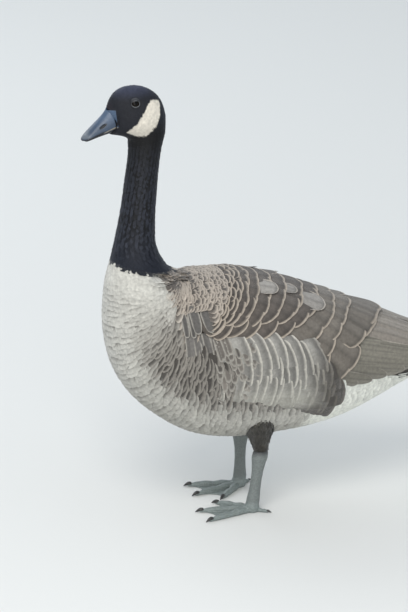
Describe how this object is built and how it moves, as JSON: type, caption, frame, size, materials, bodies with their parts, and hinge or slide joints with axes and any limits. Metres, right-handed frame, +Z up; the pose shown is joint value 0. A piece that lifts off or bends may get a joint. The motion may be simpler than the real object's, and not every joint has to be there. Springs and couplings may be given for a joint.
{
  "type": "goose model",
  "caption": "Still, life-size model of a large goose standing alert, with its neck upright, its wings folded over its back and tail and its webbed feet flat on the floor.",
  "frame": {"origin": "on the floor, under the middle of the bird's bounding box", "axes": "+Z up, -Y the way the bird faces, +X to the bird's left"},
  "size_m": [0.218, 0.6028, 0.6195],
  "materials": {
    "pale_plumage": "soft, matte feathers, cream grey",
    "black_plumage": "soft feathers, black with a faint sheen",
    "brown_plumage": "firm feathers, grey brown with paler edges",
    "bill_horn": "smooth horn, slate grey, satin",
    "leg_skin": "finely scaled skin, dark grey, satin",
    "eye": "wet gloss, very dark brown"
  },
  "bodies": {
    "root": {"torso": "pale_plumage", "thigh_left": "pale_plumage", "thigh_right": "pale_plumage", "neck": "black_plumage", "head": "black_plumage", "tail": "black_plumage", "wing_left": "brown_plumage", "wing_right": "brown_plumage", "bill_upper": "bill_horn", "bill_lower": "bill_horn", "eye_left": "eye", "eye_right": "eye", "shank_left": "leg_skin", "shank_right": "leg_skin", "foot_left": "leg_skin", "foot_right": "leg_skin"}
  },
  "joints": []
}
